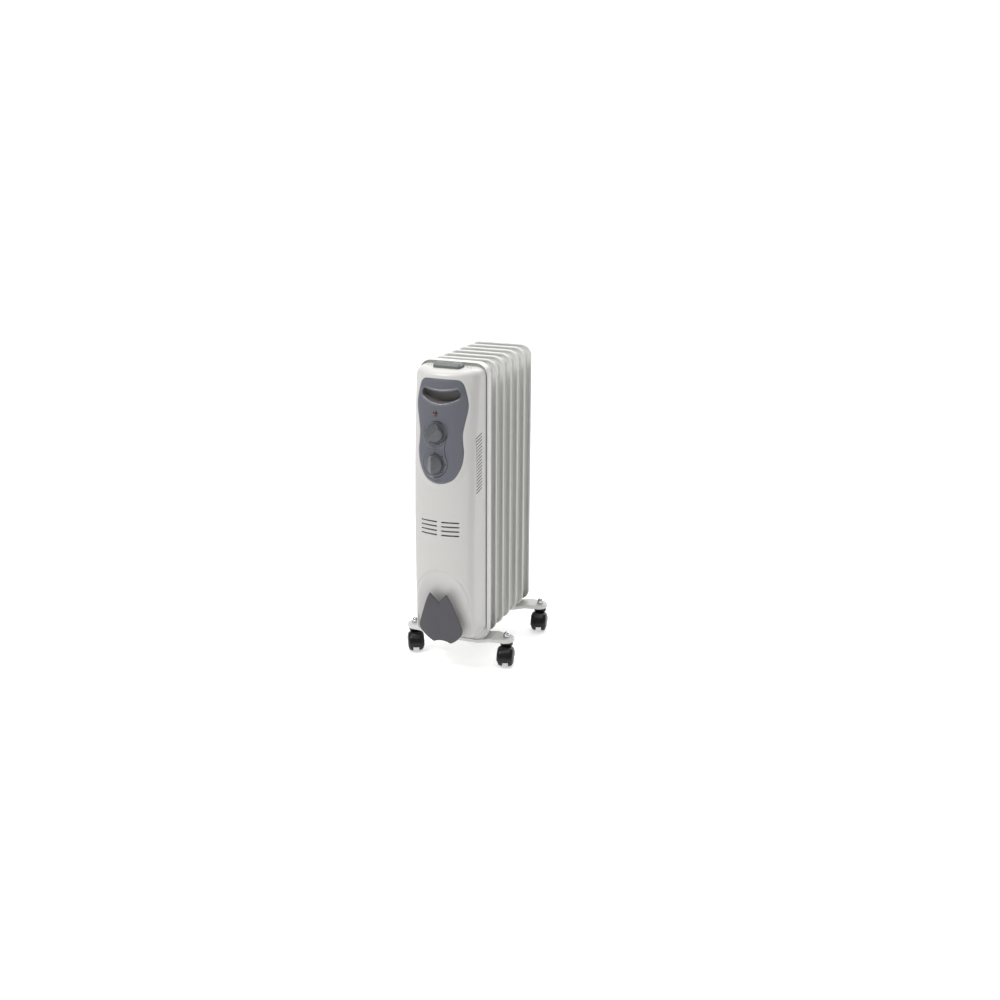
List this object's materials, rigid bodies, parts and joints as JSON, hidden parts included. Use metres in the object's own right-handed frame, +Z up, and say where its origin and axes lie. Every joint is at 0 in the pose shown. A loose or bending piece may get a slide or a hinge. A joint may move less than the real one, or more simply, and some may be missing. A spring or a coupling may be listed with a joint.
{
  "type": "oil filled radiator heater",
  "caption": "Free-standing oil filled radiator heater: pressed fins on collars, bowed front housing with control dials and cord winder, and swivel casters on two foot brackets.",
  "frame": {"origin": "on the floor under the middle of the heater, at the centre of its box", "axes": "+Z up, the control panel faces -Y, +X to the right of a person facing the controls"},
  "size_m": [0.2548, 0.3558, 0.6325],
  "materials": {
    "fin_enamel": "satin enamel",
    "box_enamel": "satin enamel",
    "cover_white": "satin moulded",
    "panel_grey": "fine satin",
    "recess_grey": "satin",
    "knob_grey": "satin",
    "grip_grey": "satin",
    "winder_grey": "fine texture",
    "lamp_red": "clear red",
    "caster_black": "satin",
    "wheel_black": "satin",
    "bracket_white": "satin enamel",
    "chrome_nut": "polished",
    "zinc_steel": "zinc plated",
    "collar_steel": "satin enamel",
    "element_steel": "satin",
    "switch_plastic": "moulded",
    "lamp_body": "moulded",
    "terminal_plastic": "moulded",
    "wire_sleeve": "smooth",
    "seal_rubber": "matt"
  },
  "bodies": {
    "heater": {"fin_1": "fin_enamel", "fin_2": "fin_enamel", "fin_3": "fin_enamel", "fin_4": "fin_enamel", "fin_5": "fin_enamel", "fin_6": "fin_enamel", "fin_7": "fin_enamel", "upper_collars": "collar_steel", "lower_collars": "collar_steel", "heating_element": "element_steel", "element_flange": "zinc_steel", "element_gasket": "seal_rubber", "filler_plug": "zinc_steel", "rear_box": "box_enamel", "front_cover": "cover_white", "control_panel": "panel_grey", "hand_recess": "recess_grey", "top_grip": "grip_grey", "lamp_lens": "lamp_red", "lamp_holder": "lamp_body", "thermostat_body": "switch_plastic", "selector_switch_body": "switch_plastic", "thermal_cutout": "zinc_steel", "terminal_block": "terminal_plastic", "wiring_loom": "wire_sleeve", "cord_inlet_bush": "seal_rubber", "cord_winder": "winder_grey", "winder_hub": "winder_grey", "cover_screws": "zinc_steel", "panel_screws": "zinc_steel", "winder_screws": "zinc_steel", "front_bracket": "bracket_white", "rear_bracket": "bracket_white", "u_bolts": "zinc_steel", "wing_nuts": "zinc_steel", "cap_nuts": "chrome_nut", "caster_stems": "zinc_steel"},
    "thermostat_dial": {"thermostat_knob": "knob_grey", "thermostat_shaft": "zinc_steel"},
    "selector_dial": {"selector_knob": "knob_grey", "selector_shaft": "zinc_steel"},
    "caster_front_left": {"caster_front_left_housing": "caster_black", "caster_front_left_axle": "zinc_steel"},
    "caster_front_left_roller_a": {"caster_front_left_wheel_a": "wheel_black"},
    "caster_front_left_roller_b": {"caster_front_left_wheel_b": "wheel_black"},
    "caster_front_right": {"caster_front_right_housing": "caster_black", "caster_front_right_axle": "zinc_steel"},
    "caster_front_right_roller_a": {"caster_front_right_wheel_a": "wheel_black"},
    "caster_front_right_roller_b": {"caster_front_right_wheel_b": "wheel_black"},
    "caster_rear_left": {"caster_rear_left_housing": "caster_black", "caster_rear_left_axle": "zinc_steel"},
    "caster_rear_left_roller_a": {"caster_rear_left_wheel_a": "wheel_black"},
    "caster_rear_left_roller_b": {"caster_rear_left_wheel_b": "wheel_black"},
    "caster_rear_right": {"caster_rear_right_housing": "caster_black", "caster_rear_right_axle": "zinc_steel"},
    "caster_rear_right_roller_a": {"caster_rear_right_wheel_a": "wheel_black"},
    "caster_rear_right_roller_b": {"caster_rear_right_wheel_b": "wheel_black"}
  },
  "joints": [
    {"name": "thermostat_turn", "type": "hinge", "parent": "heater", "child": "thermostat_dial", "pos_m": [-0.0085, -0.15737, 0.502], "axis": [-0.0763, -0.9948, 0.067], "range_deg": [-90, 180]},
    {"name": "selector_turn", "type": "hinge", "parent": "heater", "child": "selector_dial", "pos_m": [-0.0085, -0.16098, 0.4415], "axis": [-0.0739, -0.9959, 0.0516], "range_deg": [-135, 0]},
    {"name": "front_left_swivel", "type": "hinge", "parent": "heater", "child": "caster_front_left", "pos_m": [-0.1048, -0.0648, 0.0466], "axis": [0, 0, 1], "continuous": true},
    {"name": "front_left_roll_a", "type": "hinge", "parent": "caster_front_left", "child": "caster_front_left_roller_a", "pos_m": [-0.0973, -0.07779, 0.0195], "axis": [0.866, 0.5, 0], "continuous": true},
    {"name": "front_left_roll_b", "type": "hinge", "parent": "caster_front_left", "child": "caster_front_left_roller_b", "pos_m": [-0.0973, -0.07779, 0.0195], "axis": [0.866, 0.5, 0], "continuous": true},
    {"name": "front_right_swivel", "type": "hinge", "parent": "heater", "child": "caster_front_right", "pos_m": [0.1048, -0.0648, 0.0466], "axis": [0, 0, 1], "continuous": true},
    {"name": "front_right_roll_a", "type": "hinge", "parent": "caster_front_right", "child": "caster_front_right_roller_a", "pos_m": [0.10843, -0.07935, 0.0195], "axis": [0.9703, 0.2419, 0], "continuous": true},
    {"name": "front_right_roll_b", "type": "hinge", "parent": "caster_front_right", "child": "caster_front_right_roller_b", "pos_m": [0.10843, -0.07935, 0.0195], "axis": [0.9703, 0.2419, 0], "continuous": true},
    {"name": "rear_left_swivel", "type": "hinge", "parent": "heater", "child": "caster_rear_left", "pos_m": [-0.1048, 0.138, 0.0466], "axis": [0, 0, 1], "continuous": true},
    {"name": "rear_left_roll_a", "type": "hinge", "parent": "caster_rear_left", "child": "caster_rear_left_roller_a", "pos_m": [-0.10585, 0.15296, 0.0195], "axis": [-0.9976, -0.0698, 0], "continuous": true},
    {"name": "rear_left_roll_b", "type": "hinge", "parent": "caster_rear_left", "child": "caster_rear_left_roller_b", "pos_m": [-0.10585, 0.15296, 0.0195], "axis": [-0.9976, -0.0698, 0], "continuous": true},
    {"name": "rear_right_swivel", "type": "hinge", "parent": "heater", "child": "caster_rear_right", "pos_m": [0.1048, 0.138, 0.0466], "axis": [0, 0, 1], "continuous": true},
    {"name": "rear_right_roll_a", "type": "hinge", "parent": "caster_rear_right", "child": "caster_rear_right_roller_a", "pos_m": [0.10792, 0.12333, 0.0195], "axis": [0.9781, 0.2079, 0], "continuous": true},
    {"name": "rear_right_roll_b", "type": "hinge", "parent": "caster_rear_right", "child": "caster_rear_right_roller_b", "pos_m": [0.10792, 0.12333, 0.0195], "axis": [0.9781, 0.2079, 0], "continuous": true}
  ]
}
